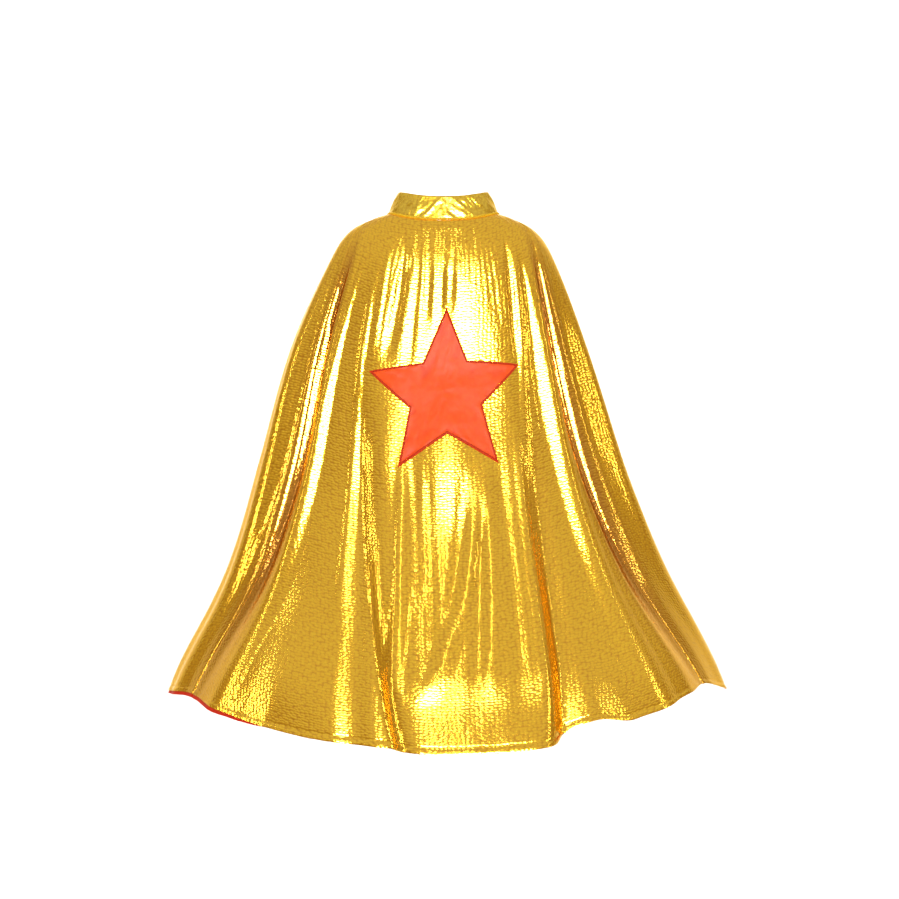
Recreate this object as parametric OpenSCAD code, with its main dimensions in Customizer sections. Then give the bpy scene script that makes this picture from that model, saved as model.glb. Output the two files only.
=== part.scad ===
// Child's superhero cape: a lined, flared body in three panels, with a stand collar,
// a star applique on the back and a hook-and-loop tab at the front of the neck.
// The wearer faces +Y, so the back with the star faces -Y. Units are millimetres.
// The origin is the middle of the neckline, level with its side points.

/* [Neckline] */
// Half width of the neckline, side to side
neck_half_w = 70; // [62:1:80]
// Half depth of the neckline behind the middle
neck_back = 58; // [50:1:64]
// Half depth of the neckline in front of the middle
neck_front = 55; // [50:1:62]
// How far the neckline dips at the centre back
neck_dip_back = 14; // [6:1:20]
// How far the neckline dips at the centre front
neck_dip_front = 22; // [12:1:30]
// Height of the stand collar
collar_h = 29; // [24:1:36]
// How far the collar leans in at its top edge
collar_lean = 12; // [6:1:14]

/* [Body] */
// Half width of the hem
hem_half_w = 346; // [320:2:400]
// Distance of the hem behind the neckline's middle, at the centre back
hem_back = 330; // [290:2:360]
// Distance of the hem in front of the middle, if it ran on to the centre front
hem_front = 290; // [250:2:320]
// Drop from the neckline's side point to the hem at the side
side_drop = 612; // [560:2:680]
// Drop from the neckline to the hem at the centre back and front
centre_drop = 622; // [580:2:700]
// How far the puckered seam lifts the hem on the wearer's right
seam_lift_right = 34; // [0:2:40]
// How far the puckered seam lifts the hem on the wearer's left
seam_lift_left = 16; // [0:2:40]
// Depth of the deepest folds at the hem
fold_depth = 20; // [8:1:24]

/* [Cloth] */
// Thickness of the outer cloth, with its seam allowances
shell_t = 1.0; // [0.8:0.1:1.2]
// Thickness of the lining cloth
lining_t = 0.8; // [0.6:0.1:1]
// Thickness of the collar's interfacing
interfacing_t = 0.5; // [0.4:0.1:0.6]
// Air left between neighbouring layers
layer_gap = 0.4; // [0.3:0.1:0.5]
// Diameter of the piping at the foot of the collar
piping_d = 3.4; // [2.8:0.2:3.8]

/* [Star] */
// Radius of the star's points
star_r = 107; // [80:1:115]
// Width of the star as a share of a regular star's
star_narrow = 0.91; // [0.85:0.01:1]
// Turn of the star to the left, in degrees
star_turn = 1.2; // [0:0.2:4]
// Radius of the star's inner corners, as a share of star_r
star_waist = 0.46; // [0.38:0.01:0.55]
// Distance of the star's centre from the neckline, down the back
star_down = 236; // [220:1:280]
// Distance of the star's centre from the centre back line, to the right
star_side = 10; // [0:1:20]
// How far the star's sides bow down, to lie level on the hanging cloth
star_bow = 15; // [0:1:20]
// Width of the satin stitch round the star
stitch_w = 3.2; // [2.4:0.2:4]

/* [Closure] */
// Width of the closure tab
tab_w = 20; // [16:1:21]
// Reach of the closure tab past the collar's end
tab_len = 40; // [34:1:46]
// Thickness of each half of the hook-and-loop tape
tape_t = 0.8; // [0.6:0.1:1]

/* [Hidden] */

gold = "#D9A520";
red = "#E8401F";
white = "#F2EFE6";

// Rows of the body's outline, from neckline to hem: share of the cloth's length, then shares
// of the way to the hem for the side's reach and drop, the centre's drop, the back's reach
// and the front's reach, then the angles of the side seam and of the front edge from the
// centre back, and the cloth's sway to the right.
OUTLINE = [
    [0.000, [0.000, 0.000, 0.000, 0.000, 0.000, 86, 175, 0]],
    [0.070, [0.166, 0.028, 0.066, 0.085, 0.090, 69, 171, -1]],
    [0.126, [0.252, 0.078, 0.125, 0.125, 0.135, 61, 168, -2]],
    [0.315, [0.432, 0.278, 0.332, 0.225, 0.250, 55, 158, -7]],
    [0.525, [0.580, 0.507, 0.556, 0.400, 0.430, 54, 147, -4]],
    [0.737, [0.738, 0.738, 0.762, 0.655, 0.660, 58, 136, 2]],
    [0.926, [0.936, 0.930, 0.934, 0.915, 0.905, 63, 127, 6]],
    [1.000, [1.000, 1.000, 1.000, 1.000, 1.000, 65, 124, 7]]];

// Folds: place at the neckline, place at the hem, half width, height as a share of
// fold_depth, squareness, and share of the length where the fold starts. Places are 0 at the
// centre back, 1 and -1 at the side seams, and 2 and -2 at the front edges.
FOLDS = [
    [0.88, 0.375, 0.06, -0.45, 2, 0.42],    // right of the middle
    [0.86, 0.70, 0.10, 0.60, 2, 0.12],
    [0.93, 0.86, 0.09, -0.70, 2, 0.06],
    [1.00, 1.00, 0.10, 0.50, 2, 0.05],
    [1.08, 1.06, 0.07, -0.35, 2, 0.05],
    [1.18, 1.16, 0.11, 0.65, 2, 0.06],
    [1.38, 1.34, 0.13, -0.45, 2, 0.10],
    [1.58, 1.56, 0.14, 0.50, 2, 0.12],
    [1.80, 1.80, 0.14, -0.40, 2, 0.15],
    [-0.84, -0.22, 0.06, -0.35, 2, 0.42],   // left of the middle
    [-0.72, -0.36, 0.09, 0.45, 2, 0.12],
    [-0.80, -0.58, 0.08, -0.40, 2, 0.12],
    [-0.90, -0.75, 0.08, 0.65, 2, 0.08],
    [-0.94, -0.89, 0.08, -0.75, 2, 0.05],
    [-1.02, -1.02, 0.10, 0.50, 2, 0.05],
    [-1.19, -1.17, 0.12, 0.60, 2, 0.06],
    [-1.40, -1.38, 0.13, -0.50, 2, 0.10],
    [-1.62, -1.60, 0.14, 0.50, 2, 0.12],
    [-1.83, -1.82, 0.12, -0.40, 2, 0.15]];

// The proud middle of the back narrows from neckline to hem.
MIDDLE_PLACE = [0.02, 0.09];
MIDDLE_HALF_W = [0.80, 0.24];
middle_height = 0.80;
middle_start = 0.42;

neck_square = 2.6;      // squareness of the neckline's oval
square_fade = 0.10;     // share of the length over which the oval becomes an ellipse
cloth_len = 690;        // neckline to hem along the cloth
edge_clear = 2.3;       // from the neckline to the panels' and collar's edges, for the piping
body_clear = 0.35;      // half of the gap at the side seams, where two bodies meet
back_columns = 48;
front_columns = 18;
rows = 16;
collar_front = 175;     // angle of the collar's ends from the centre back
collar_side = 86;       // angle where the collar's back meets its fronts

// ---- smooth curves through rows of [place, values] ----
function slope(k, i) =
    let (a = max(i - 1, 0), b = min(i + 1, len(k) - 1))
    (k[b][1] - k[a][1]) / (k[b][0] - k[a][0]);
function row_before(k, t, i = 0) = i >= len(k) - 2 || t < k[i + 1][0] ? i : row_before(k, t, i + 1);
function curve(k, t) =
    let (i = row_before(k, t), h = k[i + 1][0] - k[i][0], x = (t - k[i][0]) / h)
    (2 * x ^ 3 - 3 * x ^ 2 + 1) * k[i][1] + (x ^ 3 - 2 * x ^ 2 + x) * h * slope(k, i)
    + (3 * x ^ 2 - 2 * x ^ 3) * k[i + 1][1] + (x ^ 3 - x ^ 2) * h * slope(k, i + 1);
function ease(x) = x <= 0 ? 0 : x >= 1 ? 1 : x * x * (3 - 2 * x);
function mix(a, b, x) = a + (b - a) * x;
function unit(v) = v / norm(v);
function squared(v, n) = sign(v) * pow(abs(v), 2 / n);

// ---- the cape's surface: s runs across it and t from neckline to hem ----
function angle_at(s, q) =
    abs(s) <= 1 ? s * q[5] : sign(s) * mix(q[5], q[6], abs(s) - 1);
function bump(x, n) = abs(x) >= 1 ? 0 : pow(1 - pow(abs(x), n), 2);
function faded(start, t) = ease((t - start) / (1.1 - start));
function fold_height(s, t) =
    let (middle = bump((s - mix(MIDDLE_PLACE[0], MIDDLE_PLACE[1], t)) / mix(MIDDLE_HALF_W[0], MIDDLE_HALF_W[1], t), 6),
        rest = [for (f = FOLDS) f[3] * bump((s - mix(f[0], f[1], t)) / f[2], f[4]) * faded(f[5], t)])
    fold_depth * (middle_height * middle * faded(middle_start, t) + rest * [for (f = FOLDS) 1]);
function hem_lift(s, t) =
    (s < 0 ? seam_lift_left : seam_lift_right) * t ^ 3 * exp(-((abs(s) - 1) / (abs(s) < 1 ? 0.45 : 0.22)) ^ 2);
function cape_point(s, t) =
    let (q = curve(OUTLINE, t),
        a = angle_at(s, q),
        n = mix(neck_square, 2, ease(t / square_fade)),
        behind = cos(a) > 0,
        reach_x = mix(neck_half_w, hem_half_w, q[0]),
        reach_y = behind ? mix(neck_back, hem_back, q[3]) : mix(neck_front, hem_front, q[4]),
        dip = behind ? neck_dip_back : neck_dip_front,
        fold = fold_height(s, t),
        out = unit([sin(a) / reach_x, -cos(a) / reach_y]))
    [reach_x * squared(sin(a), n) + fold * out[0] + q[7],
     -reach_y * squared(cos(a), n) + fold * out[1],
     hem_lift(s, t) - side_drop * q[1] * sin(a) ^ 2 - (dip + centre_drop * q[2]) * cos(a) ^ 2];
function cape_normal(s, t) =
    let (d = 0.004,
        across = cape_point(s + d, t) - cape_point(s - d, t),
        down = cape_point(s, min(t + d, 1)) - cape_point(s, max(t - d, 0)))
    unit(cross(down, across));
function cape_layer(s, t, off) = cape_point(s, t) + off * cape_normal(s, t);

// ---- the collar's surface: a is the angle from the centre back and h runs up it ----
function collar_point(a, h) =
    let (behind = cos(a) > 0,
        reach_x = neck_half_w - collar_lean * h,
        reach_y = (behind ? neck_back : neck_front) - 0.8 * collar_lean * h,
        dip = behind ? neck_dip_back : neck_dip_front)
    [reach_x * squared(sin(a), neck_square), -reach_y * squared(cos(a), neck_square),
     -dip * cos(a) ^ 2 + collar_h * h];
function collar_normal(a, h) =
    let (across = collar_point(a + 1, h) - collar_point(a - 1, h),
        up = collar_point(a, h + 0.05) - collar_point(a, h - 0.05))
    unit(cross(across, up));
function collar_layer(a, h, off) = collar_point(a, h) + off * collar_normal(a, h);

// ---- closed solids from grids of points ----
// front and back are grids of the same size, and the solid fills the space between them.
module slab(front, back) {
    m = len(front);
    n = len(front[0]);
    count = m * n;
    points = concat([for (r = front) each r], [for (r = back) each r]);
    rim = concat([for (j = [0 : n - 1]) j], [for (i = [1 : m - 1]) i * n + n - 1],
        [for (j = [n - 2 : -1 : 0]) (m - 1) * n + j], [for (i = [m - 2 : -1 : 1]) i * n]);
    faces = concat(
        [for (i = [0 : m - 2], j = [0 : n - 2]) each
            [[i * n + j, i * n + j + 1, (i + 1) * n + j + 1],
             [i * n + j, (i + 1) * n + j + 1, (i + 1) * n + j]]],
        [for (i = [0 : m - 2], j = [0 : n - 2]) each
            [[count + i * n + j, count + (i + 1) * n + j + 1, count + i * n + j + 1],
             [count + i * n + j, count + (i + 1) * n + j, count + (i + 1) * n + j + 1]]],
        [for (k = [0 : len(rim) - 1]) let (a = rim[k], b = rim[(k + 1) % len(rim)]) each
            [[a, count + a, count + b], [a, count + b, b]]]);
    polyhedron(points, faces);
}

// Loops of points joined one to the next: closed back on the first loop, or capped at both ends.
module skin(loops, closed) {
    m = len(loops);
    n = len(loops[0]);
    sides = [for (i = [0 : closed ? m - 1 : m - 2], j = [0 : n - 1])
        let (a = i * n, b = (i + 1) % m * n, k = (j + 1) % n) each
        [[a + j, b + k, b + j], [a + j, a + k, b + k]]];
    caps = [[for (j = [n - 1 : -1 : 0]) j], [for (j = [0 : n - 1]) (m - 1) * n + j]];
    polyhedron([for (loop = loops) each loop], closed ? sides : concat(caps, sides));
}

// A round tube along a list of centres.
module tube(centres, d, sides) {
    n = len(centres);
    function along(i) = unit(centres[min(i + 1, n - 1)] - centres[max(i - 1, 0)]);
    skin([for (i = [0 : n - 1]) let (x = unit(cross(along(i), [0, 0, 1])), y = cross(x, along(i)))
        [for (j = [0 : sides - 1]) centres[i] + d / 2 * (cos(360 * j / sides) * x + sin(360 * j / sides) * y)]],
        false);
}

function spread(a, b, n) = [for (i = [0 : n]) mix(a, b, i / n)];

// ---- body panels ----
top = edge_clear / cloth_len;
// side is 0 for the back, -1 for the left front and 1 for the right front.
function seam_clear(t) = body_clear / norm(cape_point(1.01, t) - cape_point(0.99, t)) * 0.02;
function panel_grid(side, off) =
    [for (t = spread(top, 1, rows))
        let (c = seam_clear(t),
            from = side == 0 ? c - 1 : side < 0 ? -2 : 1 + c,
            to = side == 0 ? 1 - c : side < 0 ? -1 - c : 2)
        [for (s = spread(from, to, side == 0 ? back_columns : front_columns)) cape_layer(s, t, off)]];
module panel(side, low, high) slab(panel_grid(side, high), panel_grid(side, low));

shell_low = layer_gap / 2;
shell_high = shell_low + shell_t;
lining_high = -layer_gap / 2;
lining_low = lining_high - lining_t;

module back_panel() color(gold) panel(0, shell_low, shell_high);
module back_lining() color(red) panel(0, lining_low, lining_high);
module front_panel(side) color(gold) panel(side, shell_low, shell_high);
module front_lining(side) color(red) panel(side, lining_low, lining_high);

// ---- collar ----
collar_foot = edge_clear / collar_h;
collar_cut = body_clear / neck_half_w * 57.3;
collar_columns = 24;
interfacing_low = -interfacing_t / 2;
collar_outer_low = interfacing_t / 2 + layer_gap;
collar_outer_high = collar_outer_low + shell_t;
collar_lining_high = interfacing_low - layer_gap;
collar_lining_low = collar_lining_high - lining_t;
function collar_grid(a0, a1, columns, h0, h1, off) =
    [for (h = spread(h1, h0, 2)) [for (a = spread(a0, a1, columns)) collar_layer(a, h, off)]];
module collar_piece(a0, a1, columns, low, high, shrink = 0) {
    s = shrink / neck_half_w * 57.3;
    h = shrink / collar_h;
    slab(collar_grid(a0 + s, a1 - s, columns, collar_foot + h, 1 - h, high),
        collar_grid(a0 + s, a1 - s, columns, collar_foot + h, 1 - h, low));
}
module collar_part(part, low, high, shrink = 0) {
    if (part == 0)
        collar_piece(-collar_side + collar_cut, collar_side - collar_cut, collar_columns, low, high, shrink);
    if (part < 0)
        collar_piece(-collar_front, -collar_side - collar_cut, collar_columns / 2, low, high, shrink);
    if (part > 0)
        collar_piece(collar_side + collar_cut, collar_front, collar_columns / 2, low, high, shrink);
}
module collar_outer(part) color(gold) collar_part(part, collar_outer_low, collar_outer_high);
module collar_lining(part) color(red) collar_part(part, collar_lining_low, collar_lining_high);
module collar_interfacing(part) color(white)
    collar_part(part, interfacing_low, -interfacing_low, 1.5);

// ---- piping in the neck seam ----
piping_cut = collar_cut + 0.3;
module neck_piping(part) color(gold) {
    from = part == 0 ? -collar_side + piping_cut : part < 0 ? -collar_front : collar_side + piping_cut;
    to = part == 0 ? collar_side - piping_cut : part < 0 ? -collar_side - piping_cut : collar_front;
    tube([for (a = spread(from, to, part == 0 ? 32 : 16)) collar_point(a, 0)], piping_d, 8);
}

// ---- star ----
// The star lies on the cloth: x runs across the cape and y down it from the neckline.
function star_corner(k) =
    let (r = k % 2 == 0 ? star_r : star_r * star_waist, a = 36 * k - star_turn)
    [star_narrow * r * sin(a), -r * cos(a)];
star_steps = 4;
function star_outline(grow) =
    [for (k = [0 : 9], i = [0 : star_steps - 1])
        (1 + grow / (0.42 * star_r)) * mix(star_corner(k), star_corner((k + 1) % 10), i / star_steps)];
function cloth_point(p, off) =
    let (t = (star_down + p[1] + star_bow * pow(p[0] / star_r, 2)) / cloth_len,
        width = norm(cape_point(0.05, t) - cape_point(-0.05, t)) / 0.1)
    cape_layer((p[0] + star_side) / width, t, off);
function star_loop(grow, share, off) = [for (p = star_outline(grow)) cloth_point(share * p, off)];

// The satin stitch: a closed ring that follows the star's outline.
module star_ring(inner, outer, low, high)
    skin([star_loop(outer, 1, low), star_loop(outer, 1, high), star_loop(inner, 1, high),
        star_loop(inner, 1, low)], true);

// A star-shaped plate that follows the cloth, in rings round its middle.
module star_plate(grow, low, high) {
    rings = 5;
    m = 10 * star_steps;
    count = 1 + rings * m;
    function face(off) = concat([cloth_point([0, 0], off)],
        [for (r = [1 : rings]) each star_loop(grow, r / rings, off)]);
    // one triangle each for the high and the low face, and the quad between their edges
    faces = [for (j = [0 : m - 1]) let (k = (j + 1) % m, e = 1 + (rings - 1) * m) each concat(
        [[0, 1 + j, 1 + k], [count, count + 1 + k, count + 1 + j],
         [e + j, count + e + k, e + k], [e + j, count + e + j, count + e + k]],
        [for (r = [1 : rings - 1]) let (a = 1 + (r - 1) * m, b = a + m) each
            [[a + j, b + j, b + k], [a + j, b + k, a + k],
             [count + a + j, count + b + k, count + b + j], [count + a + j, count + a + k, count + b + k]]])];
    polyhedron(concat(face(high), face(low)), faces);
}

star_base = shell_high + 0.9;
star_inset = -stitch_w / 2 - 0.4;
module star_stabiliser() color(white) star_plate(star_inset, star_base, star_base + 0.4);
module star_applique() color(red) star_plate(star_inset, star_base + 0.9, star_base + 1.5);
module star_satin_stitch() color("#B8240F")
    star_ring(-stitch_w / 2, stitch_w / 2, star_base, star_base + 2);

// ---- closure ----
// The tab and tapes are laid out flat against the collar's front and lean with it.
front_lean = atan(0.8 * collar_lean / collar_h);
tab_mid = 0.52 * collar_h;
collar_end = neck_half_w * squared(sin(collar_front), neck_square);
tab_t = 0.9;
tab_root = collar_outer_high + 0.4;
loop_low = collar_outer_high + 0.3;
hook_low = loop_low + tape_t + layer_gap;
facing_low = hook_low + tape_t + 0.2;
tab_low = facing_low + 0.5 + 0.2;
module at_collar_front() translate([0, neck_front, -neck_dip_front]) rotate([front_lean, 0, 0]) children();

// A plate from x0 to x1 with its outer end rounded, standing from low to high off the collar.
module strip(x0, x1, w, low, high, round_end) {
    translate([0, high, tab_mid]) rotate([90, 0, 0]) linear_extrude(high - low) {
        translate([x0, -w / 2]) square([x1 - x0 - round_end, w]);
        hull() for (z = [-1, 1]) translate([x1 - round_end, z * (w / 2 - round_end)]) circle(round_end, $fn = 24);
    }
}
module loop_tape() color(white) at_collar_front() strip(11, 31, tab_w - 3, loop_low, loop_low + tape_t, 1);
module hook_tape() color(white) at_collar_front() strip(10, 30, tab_w - 3, hook_low, hook_low + tape_t, 1);
// The tab steps down from the tapes to the collar's end, where it is sewn on.
module closure_tab() color(gold) at_collar_front() intersection() {
    translate([0, 0, tab_mid - tab_w / 2]) linear_extrude(tab_w)
        polygon([[0.4 - collar_end, tab_root], [1.5, tab_low - 0.6], [4.2, tab_low], [tab_len, tab_low],
            [tab_len, tab_low + tab_t], [4.2, tab_low + tab_t], [1, tab_low + tab_t - 0.3],
            [0.4 - collar_end, tab_root + tab_t]]);
    strip(-collar_end, tab_len - 7, tab_w + 1, 0, 10, 5);
}
module closure_tab_facing() color(red) at_collar_front()
    strip(5, tab_len - 8, tab_w - 1, facing_low, facing_low + 0.5, 5);

// ---- blank care label, sewn in at the inside of the back neck ----
label_w = 26;
label_l = 34;
module care_label() color(white)
    translate([-label_w / 2, -neck_back + 6.5, -neck_dip_back - 2 - label_l]) cube([label_w, 0.6, label_l]);

back_panel();
back_lining();
collar_outer(0);  // collar_back
collar_lining(0);  // collar_back_lining
collar_interfacing(0);  // collar_back_interfacing
neck_piping(0);  // neck_piping_back
star_applique();
star_satin_stitch();
star_stabiliser();
care_label();
front_panel(-1);  // front_left_panel
front_lining(-1);  // front_left_lining
collar_outer(-1);  // collar_left
collar_lining(-1);  // collar_left_lining
collar_interfacing(-1);  // collar_left_interfacing
neck_piping(-1);  // neck_piping_left
front_panel(1);  // front_right_panel
front_lining(1);  // front_right_lining
collar_outer(1);  // collar_right
collar_lining(1);  // collar_right_lining
collar_interfacing(1);  // collar_right_interfacing
neck_piping(1);  // neck_piping_right
loop_tape();
closure_tab();
closure_tab_facing();
hook_tape();
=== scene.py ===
"""The superhero cape's looks: gold lame shell, red satin lining, collar, star and closure.

The cape hangs in the CAD frame: +Z up, the wearer faces +Y, the star faces -Y. Shapes are
worked out in millimetres and turned into metres when a mesh is made. A place on the cape is
(s, t): s is 0 at the centre back, 1 and -1 at the side seams and 2 and -2 at the front edges,
and t runs from 0 at the neckline to 1 at the hem.
"""
import bpy
import numpy as np
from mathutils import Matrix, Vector


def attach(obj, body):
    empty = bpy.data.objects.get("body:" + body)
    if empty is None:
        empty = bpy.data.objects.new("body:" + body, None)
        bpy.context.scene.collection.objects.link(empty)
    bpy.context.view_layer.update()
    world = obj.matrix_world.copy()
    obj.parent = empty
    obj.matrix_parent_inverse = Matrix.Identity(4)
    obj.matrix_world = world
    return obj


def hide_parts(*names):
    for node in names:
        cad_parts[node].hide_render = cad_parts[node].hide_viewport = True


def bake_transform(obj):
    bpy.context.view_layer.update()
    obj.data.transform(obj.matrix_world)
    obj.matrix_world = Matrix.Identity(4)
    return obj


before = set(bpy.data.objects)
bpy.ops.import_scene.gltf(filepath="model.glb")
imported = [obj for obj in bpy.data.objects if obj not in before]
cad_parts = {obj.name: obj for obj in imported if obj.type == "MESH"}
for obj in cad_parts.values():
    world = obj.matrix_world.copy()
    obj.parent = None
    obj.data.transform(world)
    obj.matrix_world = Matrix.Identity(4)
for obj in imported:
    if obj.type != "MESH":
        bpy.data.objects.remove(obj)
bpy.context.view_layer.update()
MM = 0.001

# ---- the cut, in millimetres, close to the CAD's ----
NECK_HALF_W = 70
NECK_BACK = 58
NECK_FRONT = 55
NECK_DIP_BACK = 14
NECK_DIP_FRONT = 22
COLLAR_H = 29
COLLAR_LEAN = 12
COLLAR_RISE = 0.05      # the collar is this share taller behind and lower at the sides
COLLAR_FRONT = 175
COLLAR_SIDE = 86
HEM_HALF_W = 346
HEM_BACK = 330
HEM_FRONT = 290
SIDE_DROP = 612
CENTRE_DROP = 622
SEAM_LIFT = {"left": 16, "right": 29}           # how far a side seam lifts the hem
SEAM_LIFT_PLACE = {"left": 1, "right": 0.96}    # where along the hem it lifts it most
SEAM_LIFT_BEHIND = 0.47                         # its half width behind that place
SEAM_LIFT_BEFORE = 0.25                         # and in front of it
NECK_SQUARE = 2.6
SQUARE_FADE = 0.10
CLOTH_LEN = 690
HEM_TURN = 0.5          # how far the last of the hem turns in, at the most
HEM_TURN_FROM = 0.93    # the share of the length where it starts to
HEM_STEP = 13           # how far the hem is lifted beside the proud middle
HEM_STEP_PLACE = 0.43
HEM_STEP_HALF_W = 0.15
EDGE_CLEAR = 2.3        # from the neckline to the panels' and collar's edges

# Rows from neckline to hem: share of the length, then shares of the way to the hem for the
# side's reach and drop, the centre's drop, the back's reach and the front's reach, then the
# angles of the side seam and the front edge from the centre back, and the sway to the right.
OUTLINE = np.array([
    [0, 0, 0, 0, 0, 0, 86, 175, 0],
    [0.070, 0.166, 0.028, 0.066, 0.085, 0.090, 69, 171, -1],
    [0.126, 0.252, 0.078, 0.125, 0.125, 0.135, 61, 168, -2],
    [0.315, 0.432, 0.278, 0.332, 0.225, 0.250, 55, 158, -7],
    [0.525, 0.580, 0.507, 0.556, 0.400, 0.430, 54, 147, -4],
    [0.737, 0.738, 0.738, 0.762, 0.655, 0.660, 58, 136, 2],
    [0.926, 0.936, 0.930, 0.934, 0.915, 0.905, 63, 127, 6],
    [1, 1, 1, 1, 1, 1, 65, 124, 7]])

# Folds: place and half width at the neckline, the same at the hem, height half way down and
# at the hem in millimetres, and the shares of the length where the fold starts and is full.
FOLDS = [
    [0.81, 0.07, 0.34, 0.095, -3, -7.5, 0.30, 1.00],
    [0.88, 0.08, 0.70, 0.100, 6, 6, 0.03, 0.45],
    [0.96, 0.09, 0.97, 0.110, -14, -6, 0.03, 0.40],
    [1.08, 0.08, 1.06, 0.100, -5, -3, 0.03, 0.40],
    [1.22, 0.08, 1.22, 0.090, 8, 4, 0.03, 0.50],
    [1.38, 0.10, 1.38, 0.110, -4, 2, 0.10, 0.90],
    [1.58, 0.14, 1.56, 0.140, 7, 5, 0.12, 0.90],
    [1.80, 0.14, 1.80, 0.140, -6, -7, 0.15, 0.90],
    [-0.68, 0.06, -0.27, 0.070, -4, -4, 0.10, 1.00],
    [-0.79, 0.07, -0.80, 0.080, 7, 3, 0.03, 0.45],
    [-0.93, 0.08, -0.96, 0.100, -14, -4, 0.03, 0.40],
    [-1.03, 0.06, -1.04, 0.080, -5, -2, 0.03, 0.40],
    [-1.14, 0.07, -1.16, 0.110, 8, 7, 0.03, 0.50],
    [-1.31, 0.07, -1.30, 0.100, 4, 9, 0.10, 0.90],
    [-1.42, 0.12, -1.42, 0.120, -7, -6, 0.10, 0.90],
    [-1.62, 0.14, -1.60, 0.140, 7, 9, 0.12, 0.90],
    [-1.83, 0.12, -1.82, 0.120, -6, -7, 0.15, 0.90]]
# The valleys whose gold is painted darker and more orange, as painted shade standing for gold
# mirroring gold, and how much: those that the side seams lie in, and the one on the right of the
# proud middle.
PAINTED_SHADE_FOLDS = [(FOLDS[2], 0.9), (FOLDS[10], 0.9), (FOLDS[0], 0.12)]
PAINTED_SHADE_WIDER = 1.5      # how much wider the painted shade is than the fold

# The proud middle of the back narrows from neckline to hem.
MIDDLE_PLACE = (0.02, 0.09)
MIDDLE_HALF_W = (0.80, 0.25)
MIDDLE_HEIGHT = 27
MIDDLE_START = 0.08     # shares of the length where it starts, and would be full
MIDDLE_FULL = 1.1

# Slight creases: place and share of the length of the upper end, the same of the lower end,
# half width across, and height in millimetres.
CREASES = [
    # grooves and ridges from the collar to the star
    [-0.31, 0.02, -0.36, 0.30, 0.070, -3.6],
    [-0.20, 0.02, -0.20, 0.32, 0.050, -1.6],
    [-0.12, 0.02, -0.10, 0.24, 0.055, -2.2],
    [0.08, 0.02, 0.06, 0.22, 0.070, -4.0],
    [0.62, 0.03, 0.57, 0.33, 0.055, -2.6],
    [0.72, 0.05, 0.52, 0.52, 0.050, 2.0],
    [0.78, 0.05, 0.66, 0.52, 0.045, -1.6],
    [-0.50, 0.05, -0.46, 0.30, 0.040, 1.2],
    [-0.78, 0.05, -0.80, 0.40, 0.035, -1.6],
    # the gathers that hang from the star's lower points
    [-0.21, 0.42, -0.155, 0.98, 0.040, 4.2],
    [-0.14, 0.46, -0.10, 0.76, 0.045, -2.6],
    [-0.06, 0.45, -0.05, 0.90, 0.040, -1.6],
    [0.26, 0.46, -0.08, 0.93, 0.050, 4.6],
    [0.14, 0.47, 0.00, 0.84, 0.050, -2.6],
    [0.29, 0.44, 0.12, 0.92, 0.045, 3.4],
    [0.22, 0.50, 0.06, 0.97, 0.040, -2.4],
    [0.50, 0.40, 0.27, 0.99, 0.040, 3.4],
    [0.37, 0.44, 0.20, 0.97, 0.045, -2.6],
    # ripples of the left side
    [-0.60, 0.10, -0.44, 0.80, 0.045, 2.6]]

# Broad swells: place, share of the length, half width across and down, height in millimetres.
SWELLS = [
    [0.06, 0.46, 0.24, 0.16, 8],
    [-0.30, 0.44, 0.14, 0.12, 3],
    [-0.08, 0.87, 0.08, 0.05, 2],
    [0.20, 0.88, 0.12, 0.10, -2],
    [0.08, 0.93, 0.45, 0.075, -5],
    [0.00, 0.72, 0.30, 0.18, -3],
    [-0.62, 0.90, 0.28, 0.10, 3],
    [0.50, 0.92, 0.13, 0.30, -2],
    [1.40, 0.88, 0.45, 0.36, 11],
    [-1.40, 0.97, 0.40, 0.16, 5]]
RIPPLE = 0.3            # height of the slight random ripples that run down the cloth


def ease(x):
    """A smooth step from 0 at x = 0 to 1 at x = 1."""
    x = np.clip(x, 0, 1)
    return x * x * (3 - 2 * x)


def mix(a, b, x):
    """The way from a, where x is 0, to b, where x is 1."""
    return a + (b - a) * x


def bump(x, n=2):
    """A rounded hump: 1 in the middle and 0 from x = -1 and 1 on, flatter on top for a larger n."""
    return np.where(np.abs(x) >= 1, 0, (1 - np.minimum(np.abs(x), 1) ** n) ** 2)


def smooth_rows(rows, t):
    """The rows' values at t, on one smooth curve through them."""
    knots, values = rows[:, 0], rows[:, 1:]
    last = len(knots) - 1
    slopes = np.array([
        (values[min(i + 1, last)] - values[max(i - 1, 0)])
        / (knots[min(i + 1, last)] - knots[max(i - 1, 0)]) for i in range(last + 1)])
    i = np.clip(np.searchsorted(knots, t, side="right") - 1, 0, last - 1)
    h = (knots[i + 1] - knots[i])[..., None]
    x = (t - knots[i])[..., None] / h
    return ((2 * x**3 - 3 * x**2 + 1) * values[i] + (x**3 - 2 * x**2 + x) * h * slopes[i]
            + (3 * x**2 - 2 * x**3) * values[i + 1] + (x**3 - x**2) * h * slopes[i + 1])


def value_noise(x, y, seed):
    """Smooth noise from -1 to 1 over the plane, with features about one unit across."""
    table = np.random.default_rng(seed).uniform(-1, 1, (64, 64))
    i, j = np.floor(x).astype(int), np.floor(y).astype(int)
    u, v = ease(x - i), ease(y - j)

    def pick(a, b):
        return table[a % 64, b % 64]
    return mix(mix(pick(i, j), pick(i + 1, j), u), mix(pick(i, j + 1), pick(i + 1, j + 1), u), v)


def crinkle(x, y, seed):
    """Noise with creases: broad swells crossed by narrow ridges."""
    ridges = 1 - np.abs(value_noise(x, y, seed)) * 2
    finer = 1 - np.abs(value_noise(x * 2.3, y * 2.3, seed + 1)) * 2
    return 0.65 * ridges + 0.35 * finer


def squared(v, n):
    """The sine or cosine v, bent so that an ellipse becomes an oval of squareness n."""
    return np.sign(v) * np.abs(v) ** (2 / n)


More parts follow.
